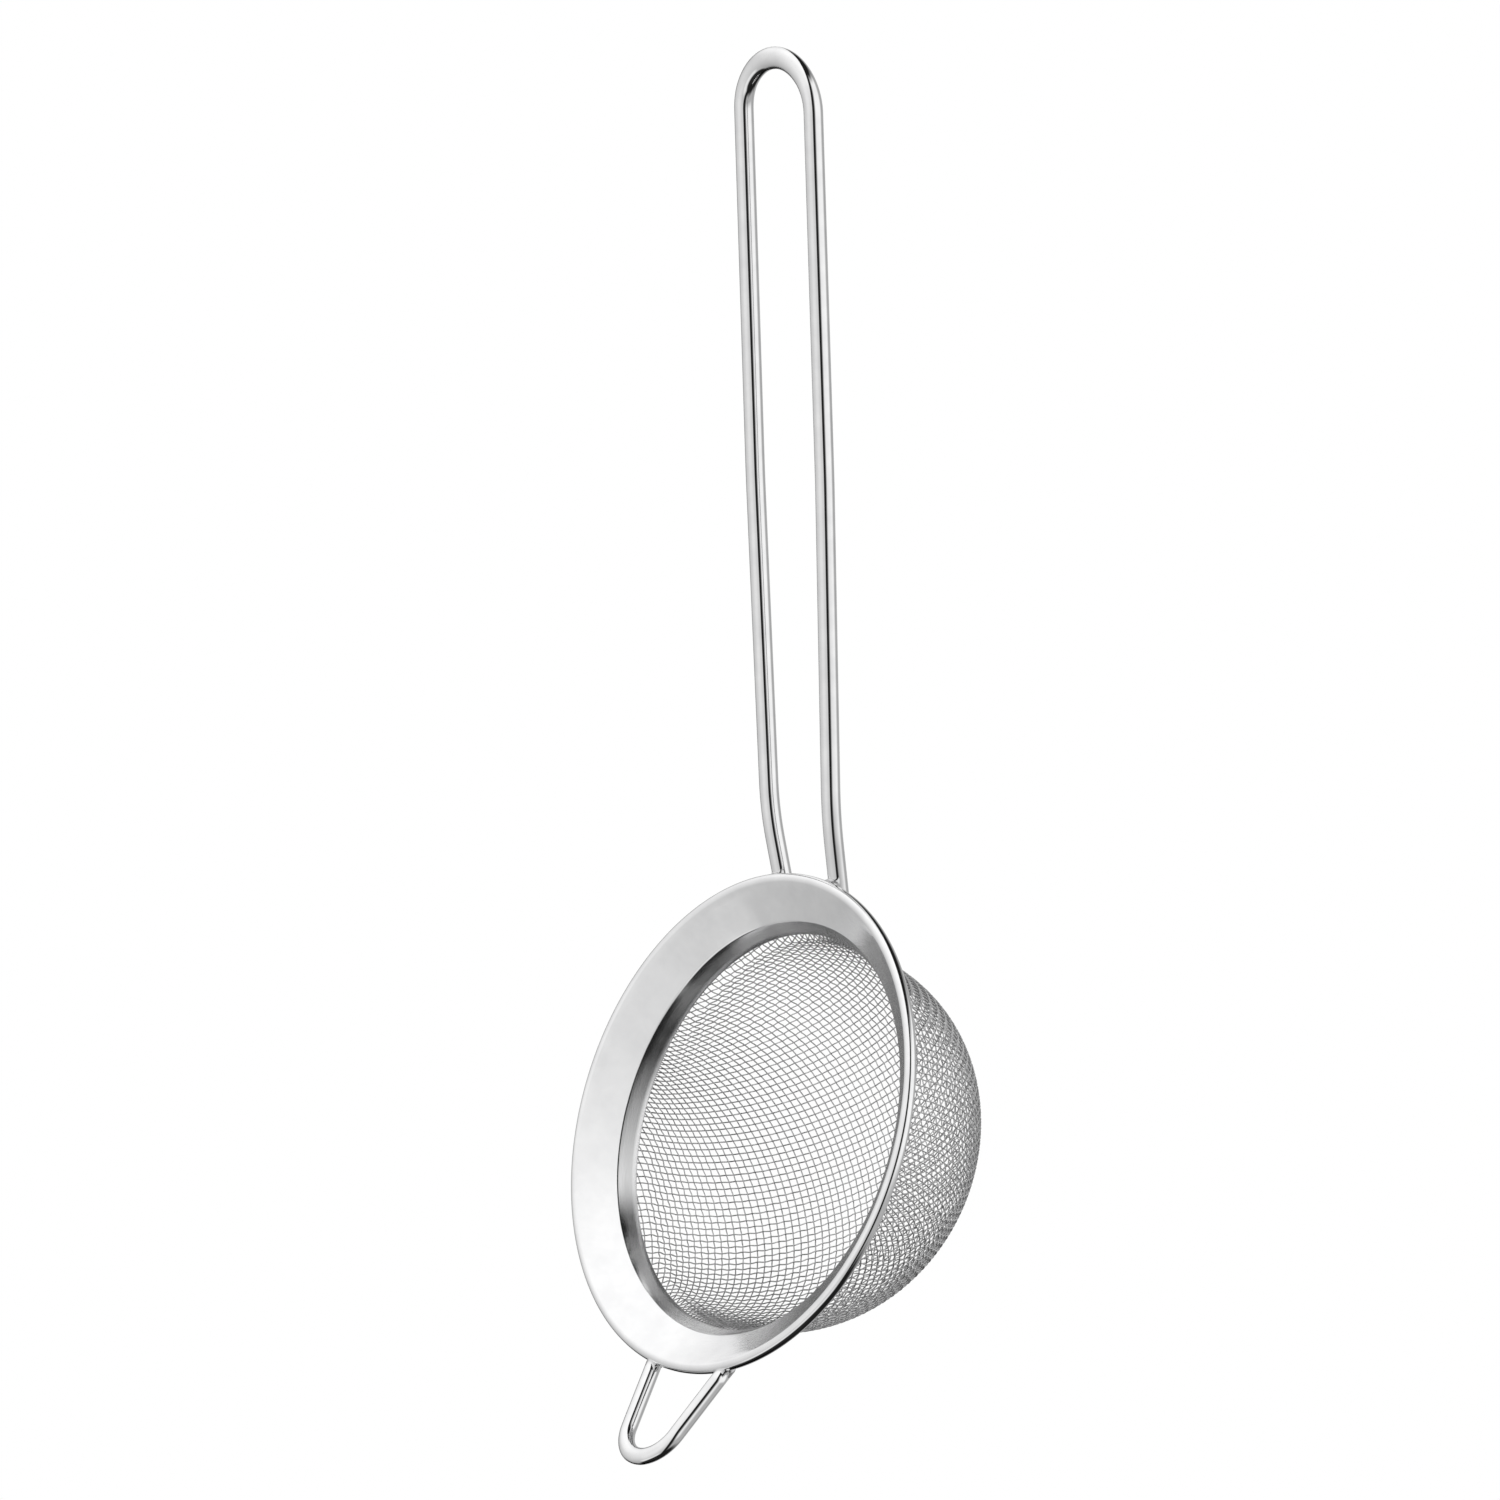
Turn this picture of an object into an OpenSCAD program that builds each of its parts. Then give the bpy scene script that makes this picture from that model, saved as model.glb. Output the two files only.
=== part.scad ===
// Small wire-mesh tea strainer: a stamped steel rim with a rolled bead, a woven
// mesh bowl welded to the rim's collar, a long looped rod handle on one side and
// a short rest loop on the other. Everything is stainless steel and nothing moves.
//
// Frame: +Z up out of the bowl, +Y along the handle, origin at the centre of the
// rim, level with the middle of the rolled bead. Millimetres.

/* [Rim] */
// Outside diameter of the rolled bead
rim_d = 79.4; // [66:0.2:110]
// Diameter of the rolled bead in section
bead_d = 1.9; // [1.6:0.1:2.6]
// Thickness of the stamped sheet
sheet_t = 0.45; // [0.3:0.05:0.6]
// Width of the sloping flange, from the bead's middle to the fold
flange_w = 5.9; // [4.5:0.1:10]
// Drop of the flange, from the bead's middle to the fold
flange_drop = 3.2; // [2:0.1:5]
// Height of the collar below the fold
collar_h = 2.5; // [2:0.1:6]
// How far the collar leans in over its height
collar_lean = 1.45; // [0.5:0.05:2]
// Radius of the fold between flange and collar
fold_r = 0.9; // [0.7:0.05:1.2]

/* [Mesh bowl] */
// Diameter of the mesh wire; the woven cloth is two wires thick
wire_d = 0.2; // [0.16:0.02:0.4]
// Depth of the bowl below the bead's middle, to the outside of the cloth
bowl_depth = 36.8; // [28:0.2:60]
// Fullness of the bowl: 2 is an ellipse, more is squarer
bowl_fullness = 2.2; // [2:0.05:3]
// Length of the cloth's lip below the collar's edge
lip_run = 2; // [1:0.1:4]
// Number of spot welds that hold the cloth to the collar
spot_count = 24; // [8:1:36]
// Diameter of a spot weld
spot_d = 1.4; // [0.8:0.1:1.8]

/* [Handle] */
// Diameter of the handle rod
rod_d = 3; // [2.4:0.1:3.6]
// Distance from the rim's centre to the centre of the end loop, along Y
handle_reach = 151.5; // [120:0.5:190]
// Distance between the leg centres at the end loop
handle_w = 17.1; // [14:0.1:22]
// Distance between the leg centres at the bend near the rim
neck_w = 15.1; // [12:0.1:20]
// Distance between the leg centres where they pass under the bead
root_w = 13.74; // [10:0.1:18]
// Rise of the legs where they leave the rim, in degrees
root_rise = 27.6; // [22:0.2:36]
// Rise of the handle beyond the bend, in degrees
handle_rise = 19.3; // [12:0.2:22]
// Distance from the root to the bend, along Y
bend_reach = 9.4; // [8:0.2:14]
// Radius of the bend near the rim
bend_r = 60; // [40:5:80]
// Distance from the rim's centre to where the legs stop spreading, along Y
spread_reach = 98; // [80:1:110]
// Radius of the slight bend where the legs stop spreading
spread_r = 250; // [150:10:400]
// Length of rod that runs on under the flange
root_tail = 3; // [2:0.1:4]

/* [Rest loop] */
// Diameter of the rest loop's rod
rest_d = 2.5; // [2:0.1:3]
// Distance between the leg centres at the rim
rest_w = 17.5; // [14:0.1:24]
// Radius of the tip, to the rod's centre
rest_tip_r = 5.95; // [5:0.05:7]
// Length of the loop in its own plane, from the bead to the tip's centre line
rest_len = 17.4; // [14:0.1:24]
// Rise of the loop, in degrees
rest_rise = 20.7; // [10:0.1:30]
// How far the rod's centre sits below the bead's middle
rest_drop = 0.75; // [0.5:0.05:0.85]

/* [Hidden] */
$fn = 64;

steel = "silver";
bright_steel = "gainsboro";
mesh_steel = "lightgray";
weld_steel = "darkgray";

// Plane geometry: a point and an arc of points at a radius and angle from a centre.
function polar(c, r, a) = c + r * [cos(a), sin(a)];
function arc(c, r, from, to, steps) =
    [for (i = [0:steps]) polar(c, r, from + (to - from) * i / steps)];
function reverse(list) = [for (i = [len(list) - 1:-1:0]) list[i]];
function unit(v) = v / norm(v);

// Rim section, in the (radius, z) plane. The flange's top face leaves the bead
// at a tangent and folds down into the collar.
bead_r = bead_d / 2;
bead_c = [rim_d / 2 - bead_r, 0];
corner = bead_c - [flange_w, flange_drop];
flange_slope = atan2(flange_drop, flange_w) + asin(bead_r / norm(corner - bead_c));
flange_normal = 90 + flange_slope;
collar_normal = 90 + atan2(collar_h, collar_lean);
flange_up = polar([0, 0], 1, flange_normal);
collar_in = polar([0, 0], 1, collar_normal);
collar_down = unit([-collar_lean, -collar_h]);
fold_c = corner - fold_r * (flange_up + collar_in) / (1 + flange_up * collar_in);
collar_end = corner - [collar_lean, collar_h];
curl_start = -150;

// One face of the folded sheet, a distance below the face that is seen from above.
function sheet_face(depth) = concat(
    arc(bead_c, bead_r - depth, curl_start, flange_normal, 24),
    arc(fold_c, fold_r - depth, flange_normal, collar_normal, 6),
    [collar_end - depth * collar_in]);

// Cloth section: a straight lip on the collar's outside, then the bowl.
cloth_offset = sheet_t + wire_d;
lip_start = 1;
lip_top = corner + lip_start * collar_down - cloth_offset * collar_in;
lip_collar_end = collar_end - cloth_offset * collar_in;
mouth = lip_collar_end + lip_run * collar_down;
bowl_h = bowl_depth - wire_d + mouth[1];
bowl_steps = 24;
function bowl_point(a) = [mouth[0] * pow(cos(a), 2 / bowl_fullness),
                          mouth[1] - bowl_h * pow(sin(a), 2 / bowl_fullness)];
cloth_path = concat([lip_top, lip_collar_end],
                    [for (i = [0:bowl_steps - 1]) bowl_point(90 * i / bowl_steps)],
                    [[0, mouth[1] - bowl_h]]);

// The path moved sideways, outwards for a positive distance. The last point is on the axis.
function path_normal(path, i) =
    let (last = len(path) - 1,
         run = path[min(i + 1, last)] - path[max(i - 1, 0)])
    i == last ? [0, -1] : unit([-run[1], run[0]]);
function moved(path, d) = [for (i = [0:len(path) - 1]) path[i] + d * path_normal(path, i)];

// Handle, for the leg on the +X side. The leg touches the bead from below.
root_x = root_w / 2;
root_drop = bead_r + rod_d / 2;
bead_y_at_root = sqrt(pow(bead_c[0], 2) - pow(root_x, 2));
root = [root_x, bead_y_at_root + root_drop * sin(root_rise), -root_drop * cos(root_rise)];
bend = [neck_w / 2, root[1] + bend_reach, root[2] + bend_reach * tan(root_rise)];
function handle_z(y) = bend[2] + (y - bend[1]) * tan(handle_rise);
spread = [handle_w / 2, spread_reach, handle_z(spread_reach)];
loop_c = [0, handle_reach, handle_z(handle_reach)];
leg_end = loop_c + [handle_w / 2, 0, 0];
leg_start = root - root_tail * unit(bend - root);

// Rest loop, in its own plane: x across, y outwards from the bead's middle.
rest_x = rest_w / 2;
rest_y0 = sqrt(pow(bead_c[0], 2) - pow(rest_x, 2));
rest_tip_c = [0, rest_len - rest_tip_r];
rest_to_root = [rest_x, 0] - rest_tip_c;
rest_tangent = atan2(rest_to_root[1], rest_to_root[0]) + acos(rest_tip_r / norm(rest_to_root));
rest_tip = arc(rest_tip_c, rest_tip_r, rest_tangent, 180 - rest_tangent, 24);
rest_path = [for (p = concat([[rest_x, 0]], rest_tip, [[-rest_x, 0]])) [p[0], p[1], 0]];

// Welds: small balls of fused metal in the corner between each rod and the rim. Each
// has a radius, and a place measured from the bead's middle or the rod's centre.
handle_weld_r = 1.5;
handle_weld_in = 0.225 * rod_d;
handle_weld_below = 0.8;
rest_weld_r = 1.45;
rest_weld_out = 0.45;
rest_weld_below = 0.5;

// Angle that a rod turns through at a corner, and how far back its bend starts.
function turn(a, p, b) = 180 - acos(unit(a - p) * unit(b - p));
function setback(a, p, b, r) = r * tan(turn(a, p, b) / 2);

// Points round a bend of radius r at corner p, for a rod that comes from a and goes to b.
function bend_points(a, p, b, r, steps) =
    let (back = unit(a - p),
         c = p + unit(back + unit(b - p)) * r / cos(turn(a, p, b) / 2),
         out = unit(p + back * setback(a, p, b, r) - c))
    [for (i = [0:steps])
        let (t = turn(a, p, b) * i / steps)
        c + r * (out * cos(t) - back * sin(t))];

// Centre line of the handle: up the +X leg, round the end loop, down the -X leg.
loop_steps = 28;
right_leg = concat([leg_start],
                   bend_points(leg_start, bend, spread, bend_r, 8),
                   bend_points(bend, spread, leg_end, spread_r, 3));
end_loop = [for (i = [0:loop_steps])
    let (t = 180 * i / loop_steps)
    loop_c + handle_w / 2 * [cos(t), sin(t) * cos(handle_rise), sin(t) * sin(handle_rise)]];
left_leg = [for (p = reverse(right_leg)) [-p[0], p[1], p[2]]];
handle_path = concat(right_leg, end_loop, left_leg);
handle_up = [0, -sin(handle_rise), cos(handle_rise)];

// Round rod along a path that stays near the plane whose normal is up.
module rod_along(path, up, d, sides = 20) {
    last = len(path) - 1;
    points = [for (i = [0:last])
        let (run = unit(path[min(i + 1, last)] - path[max(i - 1, 0)]),
             across = unit(cross(run, up)),
             over = cross(across, run))
        for (k = [0:sides - 1])
            let (a = 360 * k / sides)
            path[i] + d / 2 * (across * cos(a) + over * sin(a))];
    walls = [for (i = [0:last - 1], k = [0:sides - 1])
        let (p = i * sides + k, q = i * sides + (k + 1) % sides)
        for (half = [0, 1])
            half == 0 ? [p, q, q + sides] : [p, q + sides, p + sides]];
    first_cap = [for (k = [sides - 1:-1:0]) k];
    last_cap = [for (k = [0:sides - 1]) last * sides + k];
    polyhedron(points, concat([first_cap], walls, [last_cap]));
}

// Straight round rod between two points.
module stick(a, b, d) {
    v = b - a;
    translate(a)
        rotate([0, acos(v[2] / norm(v)), atan2(v[1], v[0])])
            cylinder(h = norm(v), d = d);
}

// The stamping; filled_bead fills the hollow of the bead, for cutting a rod to it.
module rim_body(filled_bead = false) {
    rotate_extrude() {
        polygon(concat(sheet_face(0), reverse(sheet_face(sheet_t))));
        if (filled_bead)
            polygon(arc(bead_c, bead_r, curl_start, flange_normal, 24));
    }
}

module cloth_body() {
    rotate_extrude()
        polygon(concat(moved(cloth_path, wire_d), reverse(moved(cloth_path, -wire_d))));
}

// Short round plugs, square to the collar's outside, half way up the cloth's lip. Each
// is three times as long as the cloth is thick, so it goes right through.
module spot_plugs() {
    middle = (lip_top + lip_collar_end) / 2;
    plug_h = 6 * wire_d;
    for (i = [0:spot_count - 1])
        rotate([0, 0, 360 * (i + 0.5) / spot_count])
            translate([middle[0], 0, middle[1]])
                rotate([0, 270 - collar_normal, 0])
                    translate([0, 0, -plug_h / 2])
                        cylinder(h = plug_h, d = spot_d);
}

module handle_body() {
    rod_along(handle_path, handle_up, rod_d);
}

// Puts the rest loop's own plane in place.
module in_rest_plane() {
    translate([0, -rest_y0, -rest_drop])
        rotate([rest_rise, 0, 180])
            children();
}

// The loop's two ends are cut to fit round the outside of the bead.
module rest_body() {
    difference() {
        in_rest_plane() rod_along(rest_path, [0, 0, 1], rest_d);
        rim_body(filled_bead = true);
    }
}

// A weld is a ball less what it is fused to; side is 1 or -1 along X.
module handle_weld(side) {
    across = [side, 1, 1];
    difference() {
        translate([side * root_x, bead_y_at_root - handle_weld_in, -bead_r - handle_weld_below])
            sphere(r = handle_weld_r);
        rim_body(filled_bead = true);
        stick([for (i = [0:2]) across[i] * leg_start[i]], [for (i = [0:2]) across[i] * bend[i]], rod_d);
    }
}

module rest_weld(side) {
    leg = side > 0 ? reverse(rest_path) : rest_path;
    difference() {
        translate([side * rest_x, -rest_y0 - rest_weld_out, -rest_drop - rest_weld_below])
            sphere(r = rest_weld_r);
        rim_body(filled_bead = true);
        in_rest_plane() stick(leg[0], leg[1], rest_d);
    }
}

module rim() {
    color(bright_steel) rim_body();
}

module mesh_bowl() {
    color(mesh_steel)
        difference() {
            cloth_body();
            spot_plugs();
        }
}

module mesh_spot_welds() {
    color(weld_steel)
        intersection() {
            cloth_body();
            spot_plugs();
        }
}

module handle_rod() {
    color(steel) handle_body();
}

module handle_weld_left() {
    color(weld_steel) handle_weld(-1);
}

module handle_weld_right() {
    color(weld_steel) handle_weld(1);
}

module rest_loop() {
    color(steel) rest_body();
}

module rest_weld_left() {
    color(weld_steel) rest_weld(-1);
}

module rest_weld_right() {
    color(weld_steel) rest_weld(1);
}

rim();
mesh_bowl();
mesh_spot_welds();
handle_rod();
handle_weld_left();
handle_weld_right();
rest_loop();
rest_weld_left();
rest_weld_right();
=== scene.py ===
"""Small wire-mesh tea strainer: stamped rim, woven bowl, looped rod handle and rest loop.

Lengths in the shape code are in millimetres; objects are made in metres. The frame is the
CAD frame: +Z up out of the bowl, +Y along the handle, origin at the centre of the rim.
"""

import math

import bmesh
import bpy
import numpy as np
from mathutils import Matrix, Vector


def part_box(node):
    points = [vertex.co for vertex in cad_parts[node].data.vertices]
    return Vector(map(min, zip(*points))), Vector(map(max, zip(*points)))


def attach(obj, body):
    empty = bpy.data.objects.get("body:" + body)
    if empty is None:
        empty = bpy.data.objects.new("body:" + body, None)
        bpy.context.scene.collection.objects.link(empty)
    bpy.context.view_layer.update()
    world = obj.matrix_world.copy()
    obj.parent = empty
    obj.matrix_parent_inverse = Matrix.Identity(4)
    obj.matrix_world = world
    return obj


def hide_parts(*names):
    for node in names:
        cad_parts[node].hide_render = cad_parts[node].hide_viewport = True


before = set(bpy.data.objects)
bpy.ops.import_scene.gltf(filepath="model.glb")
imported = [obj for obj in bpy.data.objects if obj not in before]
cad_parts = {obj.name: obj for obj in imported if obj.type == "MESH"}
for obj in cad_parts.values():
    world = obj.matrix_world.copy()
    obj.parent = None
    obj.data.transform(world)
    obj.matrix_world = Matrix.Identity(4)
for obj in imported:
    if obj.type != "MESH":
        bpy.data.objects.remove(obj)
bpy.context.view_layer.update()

MM = 0.001


def node_box(node):
    """Lowest and highest corners of a CAD node, in millimetres."""
    low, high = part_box(node)
    return np.array(low) / MM, np.array(high) / MM


# ---------------------------------------------------------------- sizes, in mm
rim_high = node_box("rim")[1]
bowl_low = node_box("mesh_bowl")[0]

# Rim: a sheet folded from the rolled bead, down the flange, to the collar's edge.
RIM_R = rim_high[0]
BEAD_R = rim_high[2]
BEAD_C = np.array([RIM_R - BEAD_R, 0.0])
SHEET = 0.45
FLANGE = np.array([5.9, 3.2])
COLLAR = np.array([1.45, 2.5])
FOLD_R = 0.9
CURL_START = math.radians(-150)
RIM_SEGMENTS = 576

# Woven cloth, and how far the pressed bowl's bottom sits off the rim's axis.
WIRE_D = 0.2
WIRE_SIDES = 6
PITCH = 1.14
WEAVE_TURN = math.radians(32.4)
LIP_START = 1.0
LIP_RUN = 2.0
FULLNESS = 2.2
BOWL_LEAN = np.array([0.1, 1.6])

# Spot weld nuggets: radius and height of each ring, from the dished middle outwards.
SPOT_COUNT = 24
SPOT_SIDES = 24
SPOT_RINGS = np.array([[0.25, 0.19], [0.45, 0.24], [0.56, 0.31], [0.64, 0.33],
                       [0.7, 0.28], [0.74, 0.12], [0.74, -0.2], [0.6, -0.3]])

# Handle rod. Its end loop is pressed: wider across, thinner over, and pulled in.
ROD_R = 1.5
ROD_SIDES = 40
ROD_STEP = 0.75
ROOT_X = 13.74 / 2
NECK_X = 15.1 / 2
LOOP_R = 17.1 / 2
ROOT_RISE = math.radians(27.6)
HANDLE_RISE = math.radians(19.3)
BEND_REACH = 9.4
BEND_R = 60.0
SPREAD_REACH = 98.0
SPREAD_R = 250.0
HANDLE_REACH = 151.5
ROOT_TAIL = 3.0
LOOP_WIDER, LOOP_THINNER, LOOP_PULL = 0.15, 0.12, 0.25

# Rest loop rod. Its tip is pressed a little too, and it stands a little to one side.
REST_R = 1.25
REST_SIDES = 36
REST_STEP = 0.4
REST_X = 17.5 / 2
REST_TIP_R = 5.95
REST_LEN = 17.4
REST_RISE = math.radians(20.7)
REST_DROP = 0.75
REST_SHIFT = 0.65
TIP_WIDER, TIP_THINNER = 0.1, 0.08
COPE_SINK, COPE_REACH = 0.05, 1.8

# Rod welds: radius of the ball that holds each, and the width of its fillet.
HANDLE_WELD_R, HANDLE_WELD_BLEND = 1.9, 1.5
REST_WELD_R, REST_WELD_BLEND = 1.45, 1.8
WELD_LEVEL = 5


# ---------------------------------------------------------------- geometry helpers
def unit(v):
    v = np.asarray(v, float)
    return v / np.linalg.norm(v, axis=-1, keepdims=True)


def arc(centre, radius, start, end, steps):
    a = np.linspace(start, end, steps + 1)
    return np.asarray(centre) + radius * np.stack([np.cos(a), np.sin(a)], -1)


def circle(sides):
    return 2 * np.pi * np.arange(sides) / sides


def smooth01(t):
    t = np.clip(t, 0, 1)
    return t * t * (3 - 2 * t)


def resample(points, step):
    """The same line with even spacing."""
    run = np.r_[0, np.cumsum(np.linalg.norm(np.diff(points, axis=0), axis=1))]
    t = np.linspace(0, run[-1], int(round(run[-1] / step)) + 1)
    return np.stack([np.interp(t, run, points[:, i]) for i in range(3)], 1)


def tangents(points):
    return unit(np.gradient(points, axis=0))


def strip_quads(rings, sides, first=0):
    """Faces between successive rings of a tube, as an (n, 4) array."""
    k = np.arange(sides)
    start = first + (np.arange(rings - 1) * sides)[:, None]
    a, b = start + k, start + (k + 1) % sides
    return np.stack([a, b, b + sides, a + sides], -1).reshape(-1, 4)


def make_object(name, verts, quads, ngons, material, node):
    """A mesh from millimetre points, smooth shaded, that stands for a CAD node."""
    verts = np.asarray(verts, float) * MM
    quads = np.asarray(quads, np.int64).reshape(-1, 4)
    mesh = bpy.data.meshes.new(name)
    mesh.vertices.add(len(verts))
    mesh.vertices.foreach_set("co", verts.astype(np.float32).ravel())
    loops = np.concatenate([quads.ravel()] + [np.asarray(g, np.int64) for g in ngons])
    sizes = np.concatenate([np.full(len(quads), 4), [len(g) for g in ngons]]).astype(np.int64)
    starts = np.r_[0, np.cumsum(sizes)[:-1]]
    mesh.loops.add(len(loops))
    mesh.loops.foreach_set("vertex_index", loops.astype(np.int32))
    mesh.polygons.add(len(sizes))
    mesh.polygons.foreach_set("loop_start", starts.astype(np.int32))
    mesh.polygons.foreach_set("loop_total", sizes.astype(np.int32))
    mesh.update(calc_edges=True)
    mesh.validate()
    mesh.polygons.foreach_set("use_smooth", np.ones(len(mesh.polygons), bool))
    mesh.materials.append(material)
    obj = bpy.data.objects.new(name, mesh)
    bpy.context.scene.collection.objects.link(obj)
    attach(obj, "root")
    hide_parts(node)


DOME_ANGLES = np.radians([72, 54, 36, 18])
DOME_BULGE = 0.35


def tube(path, up, across_r, over_r, sides, domed=True):
    """Rings of an oval tube along a path. The radii are one value or one per point; up is
    one vector or one per point. Returns the points, the quads and the two end caps."""
    run = tangents(path)
    up = np.broadcast_to(np.asarray(up, float), path.shape)
    across = unit(np.cross(run, up))
    over = np.cross(across, run)
    across_r = np.broadcast_to(across_r, len(path)).astype(float)
    over_r = np.broadcast_to(over_r, len(path)).astype(float)
    if domed:
        shrink, rise = np.cos(DOME_ANGLES), np.sin(DOME_ANGLES)
        extra = len(DOME_ANGLES)
        bulge = DOME_BULGE * over_r[0]
        head = path[0] - bulge * rise[:, None] * run[0]
        tail = path[-1] + bulge * rise[::-1, None] * run[-1]
        path = np.concatenate([head, path, tail])
        across = np.concatenate([[across[0]] * extra, across, [across[-1]] * extra])
        over = np.concatenate([[over[0]] * extra, over, [over[-1]] * extra])
        across_r = np.concatenate([across_r[0] * shrink, across_r,
                                   across_r[-1] * shrink[::-1]])
        over_r = np.concatenate([over_r[0] * shrink, over_r, over_r[-1] * shrink[::-1]])
    a = circle(sides)
    verts = (path[:, None]
             + across_r[:, None, None] * np.cos(a)[:, None] * across[:, None]
             + over_r[:, None, None] * np.sin(a)[:, None] * over[:, None])
    last = (len(path) - 1) * sides
    caps = [list(range(sides - 1, -1, -1)), list(range(last, last + sides))]
    return verts.reshape(-1, 3), strip_quads(len(path), sides), caps


def lathe(profile, segments):
    """A closed (radius, z) outline turned round the Z axis."""
    a = circle(segments)
    n = len(profile)
    verts = np.stack([profile[:, 0][None] * np.cos(a)[:, None],
                      profile[:, 0][None] * np.sin(a)[:, None],
                      np.broadcast_to(profile[:, 1], (segments, n))], -1)
    i = np.arange(segments)[:, None] * n
    j = ((np.arange(segments) + 1) % segments)[:, None] * n
    k = np.arange(n)
    m = (k + 1) % n
    quads = np.stack([i + k, j + k, j + m, i + m], -1)
    return verts.reshape(-1, 3), quads.reshape(-1, 4)


# Rim section, in the (radius, z) plane.
CORNER = BEAD_C - FLANGE
FLANGE_SLOPE = (math.atan2(FLANGE[1], FLANGE[0])
                + math.asin(BEAD_R / np.linalg.norm(CORNER - BEAD_C)))
FLANGE_NORMAL = math.pi / 2 + FLANGE_SLOPE
COLLAR_NORMAL = math.pi / 2 + math.atan2(COLLAR[1], COLLAR[0])
FLANGE_UP = np.array([math.cos(FLANGE_NORMAL), math.sin(FLANGE_NORMAL)])
COLLAR_IN = np.array([math.cos(COLLAR_NORMAL), math.sin(COLLAR_NORMAL)])
COLLAR_DOWN = -unit(COLLAR)
FOLD_C = CORNER - FOLD_R * (FLANGE_UP + COLLAR_IN) / (1 + FLANGE_UP @ COLLAR_IN)
COLLAR_END = CORNER - COLLAR


# ---------------------------------------------------------------- node materials
# Noise between these two values spreads over the whole range that it drives.
NOISE_LOW, NOISE_HIGH = 0.3, 0.7


class Graph:
    """Short spellings for the shader nodes used below."""

    def __init__(self, tree):
        self.tree = tree

    def node(self, kind, **settings):
        made = self.tree.nodes.new(kind)
        for key, value in settings.items():
            setattr(made, key, value)
        return made

    def put(self, socket, value):
        if isinstance(value, bpy.types.NodeSocket):
            self.tree.links.new(value, socket)
        else:
            socket.default_value = value

    def math(self, operation, *values):
        made = self.node("ShaderNodeMath", operation=operation)
        for socket, value in zip(made.inputs, values):
            self.put(socket, value)
        return made.outputs[0]

    def add(self, a, b):
        return self.math("ADD", a, b)

    def times(self, a, b):
        return self.math("MULTIPLY", a, b)

    def one_minus(self, a):
        return self.math("SUBTRACT", 1.0, a)

    def dot(self, a, b):
        made = self.node("ShaderNodeVectorMath", operation="DOT_PRODUCT")
        self.put(made.inputs[0], a)
        self.put(made.inputs[1], b)
        return made.outputs["Value"]

    def step(self, value, low, high, to_low=0.0, to_high=1.0):
        """A soft step from to_low to to_high as value goes from low to high."""
        made = self.node("ShaderNodeMapRange", interpolation_type="SMOOTHSTEP")
        for name, v in (("Value", value), ("From Min", low), ("From Max", high),
                        ("To Min", to_low), ("To Max", to_high)):
            self.put(made.inputs[name], v)
        return made.outputs["Result"]

    def spread(self, noise, low, high, top=NOISE_HIGH):
        return self.step(noise, NOISE_LOW, top, low, high)

    def noise(self, vector, scale, detail, rough):
        made = self.node("ShaderNodeTexNoise")
        self.put(made.inputs["Vector"], vector)
        made.inputs["Scale"].default_value = scale
        made.inputs["Detail"].default_value = detail
        made.inputs["Roughness"].default_value = rough
        return made.outputs["Fac"]

    def ramp(self, noise, low, high):
        """Colour from low to high with the noise."""
        made = self.node("ShaderNodeValToRGB")
        made.color_ramp.elements[0].position = NOISE_LOW
        made.color_ramp.elements[1].position = NOISE_HIGH
        made.color_ramp.elements[0].color = (*low, 1)
        made.color_ramp.elements[1].color = (*high, 1)
        self.put(made.inputs["Fac"], noise)
        return made.outputs["Color"]


def steel(name):
    """A new metal: its graph, its shader, and the object-space position."""
    material = bpy.data.materials.new(name)
    material.use_nodes = True
    g = Graph(material.node_tree)
    shader = material.node_tree.nodes["Principled BSDF"]
    shader.inputs["Metallic"].default_value = 1.0
    where = g.node("ShaderNodeTexCoord").outputs["Object"]
    return material, g, shader, where


def polar_coordinates(g, where, along, out, down):
    """Vector for grain that runs round the axis: angle, radius and height, each scaled.
    The radius itself comes second."""
    split = g.node("ShaderNodeSeparateXYZ")
    g.put(split.inputs[0], where)
    x, y, z = split.outputs
    angle = g.math("ARCTAN2", y, x)
    radius = g.math("SQRT", g.add(g.times(x, x), g.times(y, y)))
    join = g.node("ShaderNodeCombineXYZ")
    g.put(join.inputs[0], g.times(angle, along))
    g.put(join.inputs[1], g.times(radius, out))
    g.put(join.inputs[2], g.times(z, down))
    return join.outputs[0], radius


def bump(g, shader, height, distance, strength):
    made = g.node("ShaderNodeBump")
    made.inputs["Strength"].default_value = strength
    made.inputs["Distance"].default_value = distance
    g.put(made.inputs["Height"], height)
    g.put(shader.inputs["Normal"], made.outputs["Normal"])


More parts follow.
